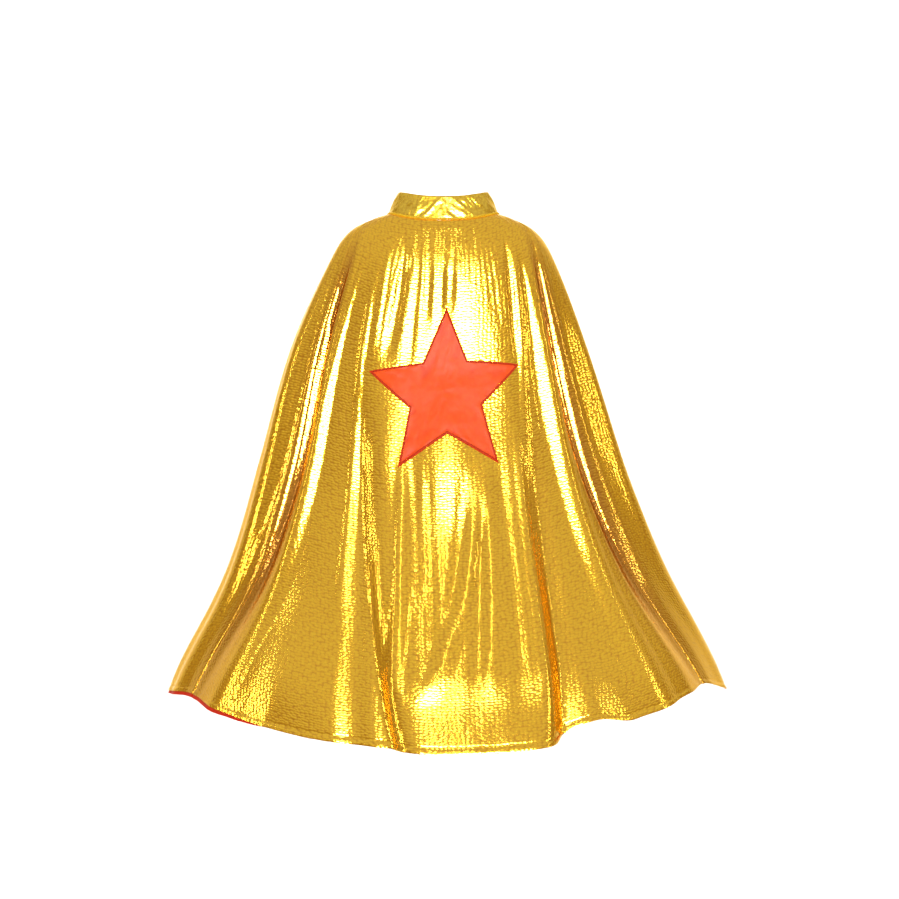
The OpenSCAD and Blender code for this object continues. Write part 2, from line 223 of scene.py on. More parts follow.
def fold_height(s, t):
    """How far the folds push the cloth out, in millimetres."""
    middle = (s - mix(*MIDDLE_PLACE, t)) / mix(*MIDDLE_HALF_W, t)
    grown = ease((t - MIDDLE_START) / (MIDDLE_FULL - MIDDLE_START))
    total = MIDDLE_HEIGHT * bump(middle, 8) * grown
    for top, top_w, hem, hem_w, half_way, at_hem, start, full in FOLDS:
        across = (s - mix(top, hem, t)) / mix(top_w, hem_w, t)
        height = mix(half_way, at_hem, ease(2 * t - 1))
        total = total + height * bump(across) * ease((t - start) / (full - start))
    for s0, t0, s1, t1, half_w, height in CREASES:
        along = (t - t0) / (t1 - t0)
        total = total + height * bump((s - mix(s0, s1, along)) / half_w) * bump(2 * along - 1, 4)
    for place, share, half_w, half_h, height in SWELLS:
        total = total + height * bump((s - place) / half_w) * bump((t - share) / half_h)
    ripple = value_noise(s * 12 + 40, t * 3.0, 51)
    total = total + RIPPLE * ripple * ease((t - 0.01) / 0.08)
    turn = HEM_TURN * np.maximum(0, value_noise(s * 9 + 7, t * 4, 53))
    return total - turn * ease((t - HEM_TURN_FROM) / (1 - HEM_TURN_FROM))


def painted_shade(s, t):
    """How much painted shade the gold gets in a fold, from 0 to 1: painted darker and more orange,
    standing for gold mirroring gold there.
    """
    deep_shade = 0 * s
    paler_hem = 1 - 0.5 * ease(3 * t - 2)
    for fold, most in PAINTED_SHADE_FOLDS:
        top, top_w, hem, hem_w = fold[:4]
        start, full = fold[6:]
        across = (s - mix(top, hem, t)) / (PAINTED_SHADE_WIDER * mix(top_w, hem_w, t))
        fade = ease((t - start) / (full - start) * 2) * paler_hem
        deep_shade = np.maximum(deep_shade, most * bump(across, 2) * fade)
    return deep_shade


def hem_lift(s, t):
    """How much higher the cloth hangs than an even hem would let it, in millimetres."""
    step = HEM_STEP * bump((s - HEM_STEP_PLACE) / HEM_STEP_HALF_W) * t**8
    most = np.where(s < 0, SEAM_LIFT["left"], SEAM_LIFT["right"])
    place = np.where(s < 0, SEAM_LIFT_PLACE["left"], SEAM_LIFT_PLACE["right"])
    width = np.where(np.abs(s) < place, SEAM_LIFT_BEHIND, SEAM_LIFT_BEFORE)
    return step + most * t**3 * np.exp(-((np.abs(s) - place) / width) ** 2)


def cape_surface(s, t, fold):
    """Points of the cape's middle layer, in millimetres, pushed out by fold."""
    q = smooth_rows(OUTLINE, t)
    turn = np.where(np.abs(s) <= 1, s * q[..., 5],
                    np.sign(s) * mix(q[..., 5], q[..., 6], np.abs(s) - 1))
    a = np.radians(turn)
    n = mix(NECK_SQUARE, 2, ease(t / SQUARE_FADE))
    behind = np.cos(a) > 0
    reach_x = mix(NECK_HALF_W, HEM_HALF_W, q[..., 0])
    reach_y = np.where(behind, mix(NECK_BACK, HEM_BACK, q[..., 3]),
                       mix(NECK_FRONT, HEM_FRONT, q[..., 4]))
    dip = np.where(behind, NECK_DIP_BACK, NECK_DIP_FRONT)
    out_x, out_y = np.sin(a) / reach_x, -np.cos(a) / reach_y
    size = np.hypot(out_x, out_y)
    drop = SIDE_DROP * q[..., 1] * np.sin(a) ** 2 + (dip + CENTRE_DROP * q[..., 2]) * np.cos(a) ** 2
    return np.stack([
        reach_x * squared(np.sin(a), n) + fold * out_x / size + q[..., 7],
        -reach_y * squared(np.cos(a), n) + fold * out_y / size,
        hem_lift(s, t) - drop], -1)


def grid_normals(points):
    """Outward normals of a grid of points with rows down the cape and columns across it."""
    across = np.gradient(points, axis=1)
    down = np.gradient(points, axis=0)
    n = np.cross(down, across)
    return n / np.maximum(np.linalg.norm(n, axis=-1, keepdims=True), 1e-9)


# ---- meshes ----
def mesh_object(name, points, faces, uvs=None, sharp=40, deep_shade=None):
    """A mesh object from millimetre points, faces, one (u, v) in metres and, per point, how much
    painted shade its colour gets.
    """
    mesh = bpy.data.meshes.new(name)
    mesh.from_pydata((np.asarray(points) * MM).tolist(), [], [list(f) for f in faces])
    mesh.polygons.foreach_set("use_smooth", np.ones(len(mesh.polygons), bool))
    if uvs is not None:
        layer = mesh.uv_layers.new(name="cloth")
        loops = np.zeros(len(mesh.loops), np.int32)
        mesh.loops.foreach_get("vertex_index", loops)
        layer.data.foreach_set("uv", np.asarray(uvs, np.float32)[loops].ravel())
    if deep_shade is not None:
        mesh.attributes.new("painted_shade", "FLOAT", "POINT").data.foreach_set("value", np.ravel(deep_shade))
    mesh.validate()
    mesh.set_sharp_from_angle(angle=np.radians(sharp))
    obj = bpy.data.objects.new(name, mesh)
    bpy.context.collection.objects.link(obj)
    return obj


def quads(rows, columns, flip=False):
    """The faces of a grid of points, turned over where flip is true."""
    i, j = np.meshgrid(np.arange(rows - 1), np.arange(columns - 1), indexing="ij")
    a = (i * columns + j).ravel()
    q = np.stack([a, a + columns, a + columns + 1, a + 1], -1)
    return q[:, ::-1] if flip else q


def ring_faces(rings, sides, closed=False):
    """The faces between rings of points, from the last ring to the first too where closed."""
    faces = []
    for i in range(rings if closed else rings - 1):
        a, b = i * sides, (i + 1) % rings * sides
        for j in range(sides):
            k = (j + 1) % sides
            faces.append((a + j, a + k, b + k, b + j))
    return faces


def slab(name, outer, inner, uvs, deep_shade=None):
    """A closed sheet between two grids of points of the same size."""
    rows, columns = outer.shape[:2]
    count = rows * columns
    top = np.arange(columns)
    right = np.arange(1, rows) * columns + columns - 1
    bottom = (rows - 1) * columns + np.arange(columns - 2, -1, -1)
    left = np.arange(rows - 2, 0, -1) * columns
    rim = np.concatenate([top, right, bottom, left])
    after = np.roll(rim, -1)
    side = np.stack([rim, after, count + after, count + rim], -1)
    faces = np.concatenate([quads(rows, columns), quads(rows, columns, True) + count, side])
    points = np.concatenate([outer.reshape(-1, 3), inner.reshape(-1, 3)])
    uvs = np.tile(uvs.reshape(-1, 2), (2, 1))
    if deep_shade is not None:
        deep_shade = np.tile(deep_shade.ravel(), 2)
    return mesh_object(name, points, faces.tolist(), uvs, deep_shade=deep_shade)


def lengths(points):
    """The way along a row of points to each of them."""
    return np.concatenate([[0], np.cumsum(np.linalg.norm(np.diff(points, axis=0), axis=1))])


def tube(name, centres, radius, sides):
    """A round tube with flat ends; radius has one number per centre."""
    count = len(centres)
    along = np.gradient(centres, axis=0)
    along /= np.linalg.norm(along, axis=1, keepdims=True)
    side = np.cross(along, [0, 0, 1.0])
    side /= np.linalg.norm(side, axis=1, keepdims=True)
    up = np.cross(side, along)
    angle = np.linspace(0, 2 * np.pi, sides, endpoint=False)
    ring = side[:, None] * np.cos(angle)[None, :, None] + up[:, None] * np.sin(angle)[None, :, None]
    points = (centres[:, None] + ring * radius[:, None, None]).reshape(-1, 3)
    round_it = angle * radius.mean()
    uvs = np.stack(np.broadcast_arrays(lengths(centres)[:, None] * MM, round_it[None] * MM), -1)
    faces = ring_faces(count, sides)
    faces.append(tuple(range(sides - 1, -1, -1)))
    faces.append(tuple((count - 1) * sides + j for j in range(sides)))
    return mesh_object(name, points, faces, uvs.reshape(-1, 2), sharp=60)


# ---- the cloth simulation ----
SIM_COLUMNS = 241
SIM_ROWS = 91
SIM_FRAMES = 30
SPARE_WIDTH = 1.035     # how much wider the cloth is cut than the shape it hangs in
MOVE_CAP = 9.0          # how far the simulation may move the cloth, in millimetres
FORM_COLUMNS = 61
FORM_ROWS = 31
FORM_REACH = 1.95       # how far round the form goes, in places along the neckline
FORM_GAP = (5, 24)      # millimetres from the cape in to the form, at the neckline and below
HELD_SHARE = 0.03       # the share of the length that is held fast
HELD_LOOSELY = 0.35     # how firmly the rest keeps to its shape, less towards the hem
TOUCH = 0.002           # metres between the cloth and the form
CLOTH = {"quality": 6, "mass": 0.12, "tension_stiffness": 30, "compression_stiffness": 30,
         "shear_stiffness": 5, "bending_stiffness": 0.6, "air_damping": 2, "pin_stiffness": 0.6}


def wide_cloth(start):
    """The cloth in the shape it starts in, and the shape key that says how wide it is cut."""
    cloth = mesh_object("sim_cloth", start.reshape(-1, 3), quads(SIM_ROWS, SIM_COLUMNS).tolist())
    cloth.shape_key_add(name="hanging")
    cut = cloth.shape_key_add(name="cut")
    wide = start * [SPARE_WIDTH, SPARE_WIDTH, 1]
    cut.data.foreach_set("co", (wide * MM).ravel())
    return cloth, cut


def wearer_form():
    """A firm form inside the cape, with none of its folds, for the cloth to lie against."""
    s, t = np.meshgrid(np.linspace(-FORM_REACH, FORM_REACH, FORM_COLUMNS),
                       np.linspace(0.0, 1.0, FORM_ROWS))
    form = cape_surface(s, t, 0 * s)
    form = form - grid_normals(form) * mix(*FORM_GAP, ease(t * 1.6))[..., None]
    body = mesh_object("sim_form", form.reshape(-1, 3), quads(FORM_ROWS, FORM_COLUMNS).tolist())
    body.modifiers.new("collision", "COLLISION")
    body.collision.thickness_outer = TOUCH
    return body


def simulate():
    """How far cloth cut a little wide moves from its design, on an even (t, s) grid."""
    s, t = np.meshgrid(np.linspace(-2, 2, SIM_COLUMNS), np.linspace(0, 1, SIM_ROWS))
    start = cape_surface(s, t, fold_height(s, t))
    cloth, cut = wide_cloth(start)
    body = wearer_form()
    held = cloth.vertex_groups.new(name="held")
    hold = np.where(t < HELD_SHARE, 1.0, HELD_LOOSELY - 0.1 * t).ravel()
    for i in range(len(hold)):
        held.add([i], float(hold[i]), "REPLACE")
    modifier = cloth.modifiers.new("cloth", "CLOTH")
    for name, value in CLOTH.items():
        setattr(modifier.settings, name, value)
    modifier.settings.vertex_group_mass = "held"
    modifier.settings.rest_shape_key = cut
    modifier.collision_settings.distance_min = TOUCH
    modifier.point_cache.frame_start = 1
    modifier.point_cache.frame_end = SIM_FRAMES
    scene = bpy.context.scene
    for frame_number in range(1, SIM_FRAMES + 1):
        scene.frame_set(frame_number)
    seen = cloth.evaluated_get(bpy.context.evaluated_depsgraph_get())
    co = np.zeros(len(cloth.data.vertices) * 3)
    seen.data.vertices.foreach_get("co", co)
    move = co.reshape(SIM_ROWS, SIM_COLUMNS, 3) / MM - start
    for obj in (cloth, body):
        bpy.data.objects.remove(obj)
    scene.frame_set(1)
    size = np.linalg.norm(move, axis=-1, keepdims=True)
    print("simulation moved the cloth by", np.percentile(size, [50, 90, 99]).round(1), "mm")
    return move * np.minimum(1, MOVE_CAP / np.maximum(size, 1e-6))


def cubic(values, x):
    """Catmull-Rom samples of values, spaced evenly along axis 0, at the fractional places x."""
    last = len(values) - 1
    i = np.clip(np.floor(x).astype(int), 0, last - 1)
    f = (x - i)[:, None, None]
    p = [values[np.clip(i + k, 0, last)] for k in (-1, 0, 1, 2)]
    return 0.5 * ((2 * p[1]) + (p[2] - p[0]) * f + (2 * p[0] - 5 * p[1] + 4 * p[2] - p[3]) * f**2
                  + (3 * p[1] - 3 * p[2] + p[3] - p[0]) * f**3)


MOVES = simulate()
STAR_ZONE_HALF_W = 0.62     # the part of the back that the star stiffens
STAR_ZONE_PLACE = 0.34


def star_zone(s, t, half_h, n):
    """1 about the star, and 0 away from it; half_h is a share of the length."""
    return bump(np.hypot(s / STAR_ZONE_HALF_W, (t - STAR_ZONE_PLACE) / half_h), n)


def moved(s_values, t_values):
    """The simulation's displacement on the grid t_values by s_values."""
    rows = cubic(MOVES, t_values * (SIM_ROWS - 1))
    both = cubic(rows.transpose(1, 0, 2), (s_values + 2) / 4 * (SIM_COLUMNS - 1))
    s, t = np.meshgrid(s_values, t_values)
    stiff = 0.85 * star_zone(s, t, 0.24, 6)
    return both.transpose(1, 0, 2) * (1 - stiff)[..., None]


# ---- the finished cloth ----
def steps(low, high, step, fine_step):
    """Values from low to high: fine_step apart near 1, the hem or a seam, else step apart."""
    values = [low]
    while values[-1] < high:
        near = abs(values[-1] - 1) < 0.03
        values.append(values[-1] + (fine_step if near else step))
    values = np.array(values)
    return low + (values - low) * (high - low) / (values[-1] - low)


# The finished cloth's rows and columns
T_TOP = EDGE_CLEAR / CLOTH_LEN
T_VALUES = steps(T_TOP, 1, 0.0056, 0.003)
S_HALF = steps(0, 1, 0.0125, 0.005)
S_BACK = np.concatenate([-S_HALF[:0:-1], S_HALF])
S_RIGHT = steps(1, 2, 0.016, 0.005)
S_LEFT = -S_RIGHT[::-1]


SEAM_REACH = (150, 360)     # millimetres from the centre back to a seam, at neckline and hem
PUCKER_PITCH = 9            # the rest are in millimetres: pitch, reach, heights and depths
PUCKER_REACH = 7
PUCKER = 0.32
GROOVE = 1.5
GROOVE_HALF_W = 1.8
GATHER = 0.3
SWELL = 0.35
HEM_WAVE = 0.6
HEM_WAVE_REACH = 38
HEM_ROLL = 0.55             # the roll along the hem, its middle and half width
HEM_ROLL_AT = (2.5, 4.0)
HEM_DENT = 0.5              # the dent of the hem's stitching, the same
HEM_DENT_AT = (8, 2.2)


def seam_details(s, t):
    """Puckers beside the side seams, and the groove each seam lies in."""
    gap = np.abs(np.abs(s) - 1) * mix(*SEAM_REACH, t)
    down = t * CLOTH_LEN
    side = np.where(s < 0, 3.0, 7.0)
    wave = np.sin(down / PUCKER_PITCH * 2 * np.pi + 4 * value_noise(down / 24, side, 3))
    strength = 0.6 + 0.5 * value_noise(down / 45, side + 9, 4)
    pucker = PUCKER * wave * strength * np.exp(-gap / PUCKER_REACH) * ease(t / 0.08)
    return pucker - GROOVE * np.exp(-(gap / GROOVE_HALF_W) ** 2)


def details(s, t):
    """Fine displacement along the normal: the seams, gathers at the neck, swells and the hem."""
    gather = GATHER * value_noise(s * 24, t * 5, 6) * np.exp(-t / 0.12) * ease(t / 0.02)
    hem_gap = (1 - t) * CLOTH_LEN
    hem_wave = HEM_WAVE * value_noise(s * 26, t * 6, 8) * np.exp(-hem_gap / HEM_WAVE_REACH)
    roll = HEM_ROLL * bump((hem_gap - HEM_ROLL_AT[0]) / HEM_ROLL_AT[1])
    roll = roll - HEM_DENT * bump((hem_gap - HEM_DENT_AT[0]) / HEM_DENT_AT[1])
    swell = SWELL * value_noise(s * 9, t * 11, 11) * ease(t / 0.1)
    loose = 1 - 0.8 * star_zone(s, t, 0.2, 4)
    return seam_details(s, t) + (gather + swell) * loose + hem_wave + roll


def cape_layers(s_values, t_values, offsets):
    """Grids of points of the finished cape at each offset from its middle layer, and the UVs."""
    s, t = np.meshgrid(s_values, t_values)
    base = cape_surface(s, t, fold_height(s, t)) + moved(s_values, t_values)
    base = base + grid_normals(base) * details(s, t)[..., None]
    normals = grid_normals(base)
    width = np.concatenate([np.zeros((len(t_values), 1)),
                            np.cumsum(np.linalg.norm(np.diff(base, axis=1), axis=-1), 1)], 1)
    middle = np.argmin(np.abs(s_values))
    uvs = np.stack([(width - width[:, middle:middle + 1]) * MM, -t * CLOTH_LEN * MM], -1)
    return [base + normals * off for off in offsets], uvs


# Outer and inner faces, in millimetres out from the middle layer
SHELL_FACES = (0.9, 0.15)
LINING_FACES = (-0.2, -0.7)
PANELS = {"back": S_BACK, "left": S_LEFT, "right": S_RIGHT}
NODE_OF = {"back": "back_panel", "left": "front_left_panel", "right": "front_right_panel"}
LINING_OF = {"back": "back_lining", "left": "front_left_lining", "right": "front_right_lining"}

LINING_END = 0.9945         # how far the lining runs, as a share of the length
# Where it runs further and peeps out: place, half width, squareness and share of the length
LINING_PEEPS = [
    [-0.98, 0.55, 4, 0.0125],
    [1.25, 0.3, 2, 0.004]]


def lining_end(s):
    """How far the lining runs at s, as a share of the length."""
    return LINING_END + sum(share * bump((s - place) / half_w, n)
                            for place, half_w, n, share in LINING_PEEPS)


def lining_layers(s_values, t):
    """The lining follows the shell, and past the hem it runs straight on."""
    faces, uvs = cape_layers(s_values, T_VALUES, LINING_FACES)
    place = np.interp(t.ravel(), T_VALUES, np.arange(len(T_VALUES))).reshape(t.shape)
    i = np.clip(np.floor(place).astype(int), 0, len(T_VALUES) - 2)
    f = (place - i)[..., None]
    j = np.arange(len(s_values))[None, :]
    past_hem = np.maximum(t - 1, 0)[..., None] * CLOTH_LEN
    grids = []
    for grid in faces:
        on = grid[i, j] * (1 - f) + grid[i + 1, j] * f
        last = grid[-1] - grid[-4]
        down = last / np.linalg.norm(last, axis=-1, keepdims=True)
        grids.append(on + past_hem * down[None])
    return grids, uvs


def make_panel(side):
    s_values = PANELS[side]
    (outer, inner), uvs = cape_layers(s_values, T_VALUES, SHELL_FACES)
    # painted shade for the fold valleys, kept on the mesh for the shader to darken the gold with
    deep_shade = painted_shade(*np.meshgrid(s_values, T_VALUES))
    shell = slab(f"shell_{side}", outer, inner, uvs, deep_shade=deep_shade)
    end = lining_end(s_values[None, :])
    t = T_TOP + (T_VALUES[:, None] - T_TOP) * (end - T_TOP) / (1 - T_TOP)
    (outer, inner), uvs = lining_layers(s_values, t)
    lining = slab(f"lining_{side}", outer, inner, uvs)
    return shell, lining


# ---- collar ----
COLLAR_BULGE = 0.4      # millimetres
COLLAR_CREASE = 1.1
COLLAR_GATHER = 0.45
COLLAR_PARTS = {"back": (-COLLAR_SIDE, COLLAR_SIDE), "left": (-COLLAR_FRONT, -COLLAR_SIDE),
                "right": (COLLAR_SIDE, COLLAR_FRONT)}
# A collar's pieces: outer and inner face in millimetres out from the middle layer, and the
# shares of the collar's height that the piece runs from and to
COLLAR_PIECES = {"shell": ((1.3, 0.6), 0.02, 1.0), "lining": ((-0.5, -1.0), 0.02, 1.0),
                 "interfacing": ((0.35, -0.25), 0.06, 0.94)}


def collar_surface(a, h):
    """Points of the collar's middle layer, a degrees from the centre back and h of its height."""
    r = np.radians(a)
    behind = np.cos(r) > 0
    reach_x = NECK_HALF_W - COLLAR_LEAN * h
    reach_y = np.where(behind, NECK_BACK, NECK_FRONT) - 0.8 * COLLAR_LEAN * h
    dip = np.where(behind, NECK_DIP_BACK, NECK_DIP_FRONT)
    height = COLLAR_H * (1 + COLLAR_RISE * np.cos(2 * r))
    return np.stack([reach_x * squared(np.sin(r), NECK_SQUARE),
                     -reach_y * squared(np.cos(r), NECK_SQUARE),
                     -dip * np.cos(r) ** 2 + height * h], -1)


def collar_layers(side, offsets, foot, head):
    """Grids of points of the creased collar at each offset from its middle layer, and the UVs."""
    low, high = COLLAR_PARTS[side]
    a, h = np.meshgrid(np.linspace(low, high, high - low + 1), np.linspace(head, foot, 25))
    base = collar_surface(a, h)
    normals = grid_normals(base)
    # creases fan out from the middle of the back, and short ones gather at the foot
    fan = crinkle(a / 11 + 1.6 * h * np.sign(a), h * 1.6 + a / 60, 21)
    gathers = value_noise(a / 2.2, h * 1.5, 23) * np.exp(-h / 0.25)
    out = COLLAR_BULGE * np.sin(np.pi * h) ** 0.8
    out = out + COLLAR_CREASE * fan * np.sin(np.pi * np.clip(h, 0, 1)) ** 0.5
    out = out + COLLAR_GATHER * gathers * ease(h / 0.08)
    base = base + normals * out[..., None]
    width = np.radians(a) * NECK_HALF_W
    uvs = np.stack([width * MM, h * COLLAR_H * MM], -1)
    return [base + normals * off for off in offsets], uvs


def make_collar(side):
    pieces = []
    for kind, (offsets, foot, head) in COLLAR_PIECES.items():
        (outer, inner), uvs = collar_layers(side, offsets, foot, head)
        pieces.append(slab(f"collar_{kind}_{side}", outer, inner, uvs))
    return pieces


PIPING_R = 1.55
PIPING_OUT = 1.7        # the cord's middle, out from the foot of the collar and up
PIPING_UP = 0.2


def make_piping(side):
    low, high = COLLAR_PARTS[side]
    a = np.linspace(low, high, int((high - low) * 1.5))
    centres = collar_surface(a, 0 * a)
    normal = centres / np.linalg.norm(centres * [1, 1, 0], axis=1, keepdims=True) * [1, 1, 0]
    length = np.radians(a) * NECK_HALF_W
    uneven = 0.16 * value_noise(length / 3.0, 0 * a, 31) + 0.1 * np.sin(length * 2.2)
    centres = centres + normal * PIPING_OUT + [0, 0, PIPING_UP]
    return tube(f"piping_{side}", centres, PIPING_R + uneven, 12)


# ---- the star, laid on the finished back ----
STAR_R = 107
STAR_WAIST = 0.46       # shares of the radius: an inner corner, and the middle of an edge
STAR_EDGE = 0.42
STAR_NARROW = 0.91      # its width as a share of a regular star's
STAR_TURN = 1.2         # degrees
STAR_DOWN = 236         # its middle, down from the neckline and to the right
STAR_SIDE = 10
STAR_BOW = 15           # how far its sides bow down, to lie level on the hanging cloth
STITCH_W = 3.0
STITCH_CROWN = 1.05     # how high the stitching stands
THREAD = 0.13           # how far threads stand above and below that, in turn
NEAR = 0.05             # places either side of the centre back, to measure the cloth between
BACK_GRID = cape_layers(S_BACK, T_VALUES, SHELL_FACES[:1])[0][0]
BACK_NORMALS = grid_normals(BACK_GRID)


def on_star(x, y, off):
    """Points on the back's outer face, x across and y down from the star's middle."""
    t = (STAR_DOWN + y + STAR_BOW * (x / STAR_R) ** 2) / CLOTH_LEN
    between = cape_surface(NEAR, t, 0) - cape_surface(-NEAR, t, 0)
    s = (x + STAR_SIDE) / (np.linalg.norm(between, axis=-1) / (2 * NEAR))
    j = np.interp(s, S_BACK, np.arange(len(S_BACK)))
    i = np.interp(t, T_VALUES, np.arange(len(T_VALUES)))
    i0 = np.clip(np.floor(i).astype(int), 0, len(T_VALUES) - 2)
    j0 = np.clip(np.floor(j).astype(int), 0, len(S_BACK) - 2)
    fi, fj = (i - i0)[..., None], (j - j0)[..., None]

    def blended(grid):
        upper = grid[i0, j0] * (1 - fj) + grid[i0, j0 + 1] * fj
        lower = grid[i0 + 1, j0] * (1 - fj) + grid[i0 + 1, j0 + 1] * fj
        return upper * (1 - fi) + lower * fi
    return blended(BACK_GRID) + blended(BACK_NORMALS) * np.asarray(off)[..., None]


def star_outline(grow, steps_per_edge):
    """Points along the star's edge, moved out by grow millimetres."""
    k = np.arange(10)
    r = np.where(k % 2 == 0, STAR_R, STAR_R * STAR_WAIST) * (1 + grow / (STAR_EDGE * STAR_R))
    a = np.radians(36 * k - STAR_TURN)
    corners = np.stack([STAR_NARROW * r * np.sin(a), -r * np.cos(a)], -1)
    share = np.linspace(0, 1, steps_per_edge, endpoint=False)[None, :, None]
    edges = corners[:, None] * (1 - share) + np.roll(corners, -1, 0)[:, None] * share
    return edges.reshape(-1, 2)


def star_puckers(x, y, share):
    """Satin pulls into short creases near the stitched edge."""
    angle = np.degrees(np.arctan2(x, -y))
    near_edge = np.exp(-((1 - share) / 0.16))
    radial = value_noise(angle / 5.0, share * 3, 41) * near_edge * ease((1 - share) / 0.02)
    broad = value_noise(x / 34 + 5, y / 34, 43)
    pulls = crinkle(x / 15 + y / 60, y / 26, 45)
    return radial + (0.6 * broad + 0.6 * pulls) * (1 - share**4)


def star_face(name, grow, low, high, puckers):
    """A star of cloth from low to high above the back, its outer face puckered."""
    edge = star_outline(grow, 14)
    shares = np.linspace(0, 1, 25)[1:]
    m = len(edge)
    x = np.concatenate([[0], (edge[None, :, 0] * shares[:, None]).ravel()])
    y = np.concatenate([[0], (edge[None, :, 1] * shares[:, None]).ravel()])
    share = np.concatenate([[0], np.repeat(shares, m)])
    lift = puckers * star_puckers(x, y, share)
    outer = on_star(x, y, high + lift)
    inner = on_star(x, y, low + 0 * lift)
    count = len(x)
    last = 1 + (len(shares) - 1) * m
    faces = []
    for j in range(m):
        k = (j + 1) % m
        faces.append((0, 1 + k, 1 + j))
        faces.append((count, count + 1 + j, count + 1 + k))
        faces.append((last + j, last + k, count + last + k, count + last + j))
        for r in range(len(shares) - 1):
            a, b = 1 + r * m, 1 + (r + 1) * m
            faces.append((a + j, a + k, b + k, b + j))
            faces.append((count + a + j, count + b + j, count + b + k, count + a + k))
    uvs = np.stack([x, -y], -1) * MM
    # painted shade: the satin is painted darker red in the puckers' creases
    depth = np.clip(-lift * 0.9 - 0.15, 0, 1)
    return mesh_object(name, np.concatenate([outer, inner]), faces, np.concatenate([uvs, uvs]),
                       sharp=50, deep_shade=np.concatenate([depth, depth]))


def make_stitching():
    """Satin stitch: close threads across the star's edge."""
    per_edge = 130
    inner, outer = star_outline(-STITCH_W / 2, per_edge), star_outline(STITCH_W / 2, per_edge)
    m = len(inner)
    across = np.linspace(0, 1, 9)
    thread = THREAD * np.cos(np.arange(m) * np.pi)
    rings = []
    for share in across:
        p = inner * (1 - share) + outer * share
        crown = np.sqrt(np.maximum(0, 1 - (2 * share - 1) ** 2))
        rings.append(on_star(p[:, 0], p[:, 1], 0.35 + STITCH_CROWN * crown + thread * crown))
    for share in across[-2:0:-1]:
        p = inner * (1 - share) + outer * share
        rings.append(on_star(p[:, 0], p[:, 1], 0.08 + 0 * thread))
    around = np.tile(lengths(outer), len(rings))
    uvs = np.stack([around, np.repeat(np.arange(len(rings)), m) * 0.3], -1) * MM
    faces = ring_faces(len(rings), m, closed=True)
    return mesh_object("star_stitching", np.concatenate(rings), faces, uvs, sharp=70)


def make_star():
    backing = star_face("star_backing", grow=-2.6, low=0.12, high=0.42, puckers=0.0)
    satin = star_face("star_satin", grow=-1.6, low=0.5, high=1.05, puckers=1.0)
    return satin, make_stitching(), backing


# ---- closure ----
FRONT_LEAN = np.arctan(0.8 * COLLAR_LEAN / COLLAR_H)
TAB_MID = 0.52 * COLLAR_H       # up the collar
TAB_ROOT = -10.3                # along x: where it is sewn on, and where it ends
TAB_END = 33
TAB_HALF_W = 10
TAB_OFF = (2.2, 4.75)           # its inner face off the collar's middle, sewn end and free end
TAPE_HALF_W = 8.5
PUFF = 0.25                     # how far a strip's outer face swells
STITCH_LINE = 2.2               # its stitching: from the edge, depth and half width
STITCH_DEPTH = 0.22
STITCH_HALF_W = 0.5


def at_collar_front(x, y, z):
    """Points laid out against the collar's front: y outward and z up the collar."""
    return np.stack([x, NECK_FRONT + y * np.cos(FRONT_LEAN) - z * np.sin(FRONT_LEAN),
                     -NECK_DIP_FRONT + y * np.sin(FRONT_LEAN) + z * np.cos(FRONT_LEAN)], -1)


def tab_height(x):
    """How far the tab's inner face stands off the collar's middle layer."""
    return mix(*TAB_OFF, ease((x - TAB_ROOT - 2) / 13))


def level(height):
    """A stand-off that is the same all along."""
    return lambda x: height + 0 * x


def strip(name, x0, x1, half_w, low, high, corner, follow):
    """A flat strip with rounded outer corners; follow gives its stand-off along x."""
    x, v = np.meshgrid(np.linspace(x0, x1, 61), np.linspace(1, -1, 17))
    past = np.clip((x - (x1 - corner)) / corner, 0, 1)
    z = v * (half_w - corner * (1 - np.sqrt(1 - past**2 * 0.98)))
    puff = PUFF * (1 - np.abs(v) ** 6) * np.clip((x1 - x) / 2, 0, 1)
    from_line = np.abs(z) - (half_w - STITCH_LINE)
    groove = -STITCH_DEPTH * np.exp(-(from_line / STITCH_HALF_W) ** 2)
    base = follow(x)
    outer = at_collar_front(x, base + high + puff + groove, TAB_MID + z)
    inner = at_collar_front(x, base + low, TAB_MID + z)
    return slab(name, outer, inner, np.stack([x, z], -1) * MM)


def make_closure():
    tab = strip("tab_shell", TAB_ROOT, TAB_END, TAB_HALF_W,
                low=0.0, high=0.7, corner=5, follow=tab_height)
    facing = strip("tab_facing", TAB_ROOT + 1, TAB_END - 1, TAB_HALF_W - 0.6,
                   low=-0.7, high=-0.15, corner=5, follow=tab_height)
    hook = strip("hook_half", 10, 30, TAPE_HALF_W,
                 low=0.0, high=0.75, corner=1.5, follow=level(3.15))
    loop = strip("loop_half", 11, 31, TAPE_HALF_W,
                 low=0.0, high=0.8, corner=1.5, follow=level(1.95))
    return tab, facing, hook, loop


# ---- care label ----
LABEL_HALF_W = 13
LABEL_LEN = 34
LABEL_HALF_T = 0.15
LABEL_Y = -51.4         # where it hangs from, just inside the collar's lining


def make_label():
    x, v = np.meshgrid(np.linspace(-LABEL_HALF_W, LABEL_HALF_W, 27), np.linspace(0, 1, 35))
    curl = -5 * ease(v) * (1 - 0.3 * v) + 0.8 * np.sin(x / 9 + 1) * v - 0.0012 * x**2
    y = LABEL_Y + curl
    z = -NECK_DIP_BACK - 2 - LABEL_LEN * v
    inner = np.stack([x, y + LABEL_HALF_T, z], -1)
    outer = np.stack([x, y - LABEL_HALF_T, z], -1)
    return slab("blank_label", outer, inner, np.stack([x, z], -1) * MM)


# ---- materials ----
def material(name, base, metallic, roughness, **sockets):
    """A new material, its node tree and its shader; sockets are more of the shader's values."""
    m = bpy.data.materials.new(name)
    m.use_nodes = True
    tree = m.node_tree
    shader = tree.nodes["Principled BSDF"]
    shader.inputs["Base Color"].default_value = (*base, 1)
    shader.inputs["Metallic"].default_value = metallic
    shader.inputs["Roughness"].default_value = roughness
    for key, value in sockets.items():
        shader.inputs[key.replace("_", " ")].default_value = value
    return m, tree, shader


